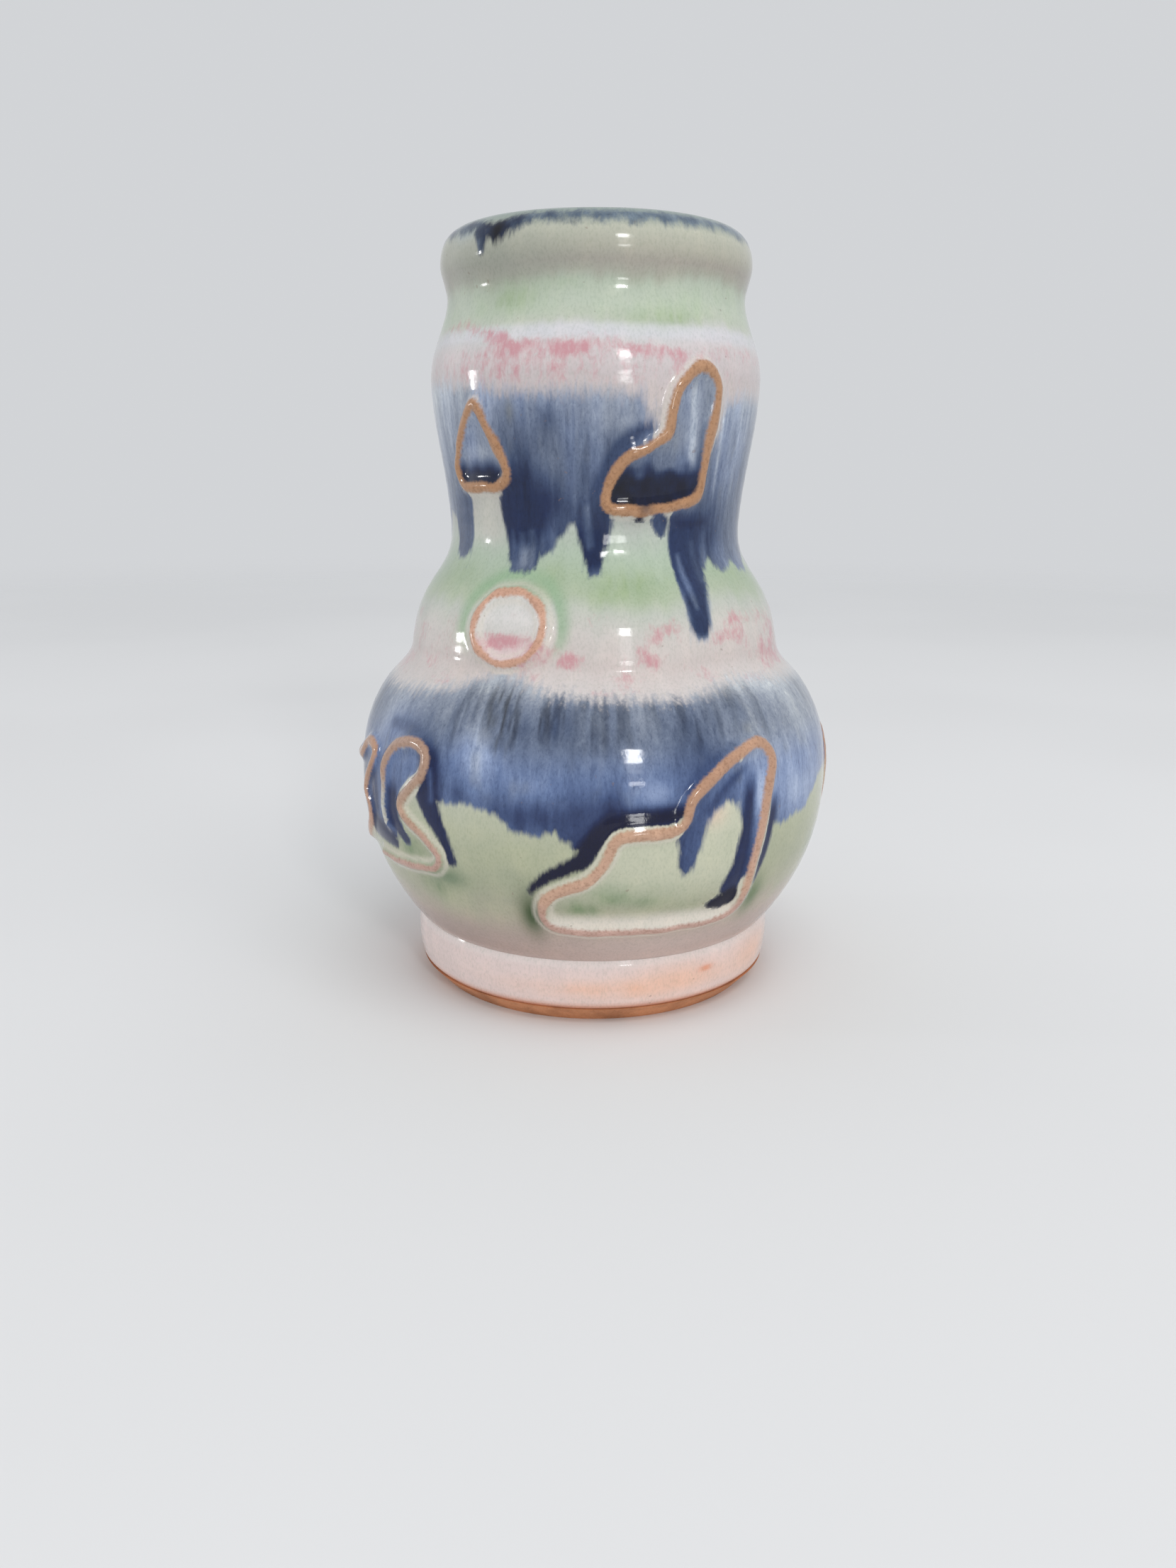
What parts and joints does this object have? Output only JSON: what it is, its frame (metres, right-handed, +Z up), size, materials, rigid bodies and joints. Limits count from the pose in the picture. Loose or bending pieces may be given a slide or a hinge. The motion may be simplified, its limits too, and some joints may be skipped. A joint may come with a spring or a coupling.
{
  "type": "ceramic bud vase",
  "caption": "Small wheel-thrown bud vase with a round belly, drawn-in neck, rolled lip and raised slip outlines under running banded glazes.",
  "frame": {"origin": "centre of the foot, on the surface the vase stands on", "axes": "+Z up out of the mouth; -Y is the front, the side with the hill and boot outlines; +X is to the right seen from the front"},
  "size_m": [0.0936, 0.0935, 0.14],
  "materials": {
    "bare_clay": "unglazed fired stoneware, matt and slightly gritty",
    "banded_glaze": "glossy layered glaze in running bands of off-white, rose, blue-grey, navy and pale green",
    "foot_glaze": "glossy pinkish white glaze with an orange blush",
    "rim_glaze": "glossy glaze, olive grey with a navy line at the lip",
    "liner_glaze": "glossy pale liner glaze",
    "ridge_glaze": "thin glossy glaze breaking orange-brown over the raised clay"
  },
  "bodies": {
    "root": {"clay_body": "bare_clay", "outer_glaze": "banded_glaze", "foot_glaze": "foot_glaze", "rim_glaze": "rim_glaze", "liner_glaze": "liner_glaze", "triangle_ridge": "ridge_glaze", "boot_ridge": "ridge_glaze", "ring_ridge": "ridge_glaze", "hill_ridge": "ridge_glaze", "loop_ridge": "ridge_glaze", "side_ridge": "ridge_glaze", "back_leaf_ridge": "ridge_glaze", "back_triangle_ridge": "ridge_glaze", "back_ring_ridge": "ridge_glaze", "back_hill_ridge": "ridge_glaze", "back_arch_ridge": "ridge_glaze"}
  },
  "joints": []
}
